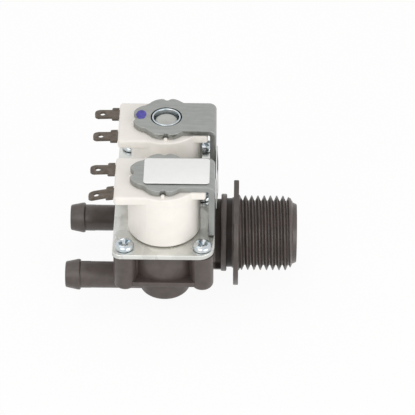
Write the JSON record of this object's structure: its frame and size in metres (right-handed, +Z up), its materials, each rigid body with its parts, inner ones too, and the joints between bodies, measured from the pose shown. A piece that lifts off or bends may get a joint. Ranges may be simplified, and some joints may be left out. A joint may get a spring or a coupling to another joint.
{
  "type": "washing machine inlet valve",
  "caption": "Solenoid water inlet valve for a washing machine, with a threaded inlet, moulded coils on a steel plate and hose barbs as outlets.",
  "frame": {"origin": "middle of the overall box at its lowest level, which is the lower edge of the inlet flange", "axes": "+X out of the threaded inlet and -X out of the hose barbs, +Z up along the coils' axes, -Y towards the front valve"},
  "size_m": [0.0812, 0.0648, 0.0583],
  "materials": {
    "body": "glass-filled nylon, satin",
    "plate": "galvanised sheet",
    "zinc": "zinc-plated sheet, satin",
    "screw": "bright zinc",
    "white": "polyester moulding, satin",
    "bobbin": "natural nylon",
    "copper": "enamelled copper wire",
    "terminal": "tinned brass, dull",
    "rubber": "black rubber",
    "acetal": "white acetal",
    "guide": "pale filled nylon",
    "stainless": "ground stainless steel",
    "spring": "drawn spring wire",
    "screen": "polypropylene",
    "paper": "plain label paper"
  },
  "bodies": {
    "valve": {"base_plate": "plate", "bobbin_front": "bobbin", "bobbin_rear": "bobbin", "coil_casing_front": "white", "coil_casing_rear": "white", "diaphragm_front": "rubber", "diaphragm_rear": "rubber", "edge_label": "paper", "flow_regulator": "rubber", "guide_tube_front": "guide", "guide_tube_rear": "guide", "inlet_screen": "screen", "label": "paper", "lower_pole_sleeve_front": "zinc", "lower_pole_sleeve_rear": "zinc", "plunger_spring_front": "spring", "plunger_spring_rear": "spring", "screw_front_left": "screw", "screw_front_right": "screw", "screw_middle_left": "screw", "screw_middle_right": "screw", "screw_rear_left": "screw", "screw_rear_right": "screw", "terminal_front_inner": "terminal", "terminal_front_outer": "terminal", "terminal_rear_inner": "terminal", "terminal_rear_outer": "terminal", "upper_pole_sleeve_front": "zinc", "upper_pole_sleeve_rear": "zinc", "valve_body": "body", "winding_front": "copper", "winding_rear": "copper", "yoke_front": "zinc", "yoke_rear": "zinc"},
    "plunger_front": {"plunger_front": "stainless", "plunger_seal_front": "rubber"},
    "insert_front": {"diaphragm_insert_front": "acetal"},
    "plunger_rear": {"plunger_rear": "stainless", "plunger_seal_rear": "rubber"},
    "insert_rear": {"diaphragm_insert_rear": "acetal"}
  },
  "joints": [
    {"name": "plunger_slide_front", "type": "slide", "parent": "valve", "child": "plunger_front", "axis": [0, 0, 1], "range_m": [0, 0.0022], "stiffness_N_per_m": 60, "deforming": ["plunger_spring_front"]},
    {"name": "insert_slide_front", "type": "slide", "parent": "valve", "child": "insert_front", "axis": [0, 0, 1], "range_m": [0, 0.0012], "deforming": ["diaphragm_front"]},
    {"name": "plunger_slide_rear", "type": "slide", "parent": "valve", "child": "plunger_rear", "axis": [0, 0, 1], "range_m": [0, 0.0022], "stiffness_N_per_m": 60, "deforming": ["plunger_spring_rear"]},
    {"name": "insert_slide_rear", "type": "slide", "parent": "valve", "child": "insert_rear", "axis": [0, 0, 1], "range_m": [0, 0.0012], "deforming": ["diaphragm_rear"]}
  ],
  "couplings": [
    {"joint": "insert_slide_front", "follows": "plunger_slide_front", "ratio": 0.5454},
    {"joint": "insert_slide_rear", "follows": "plunger_slide_rear", "ratio": 0.5454}
  ]
}
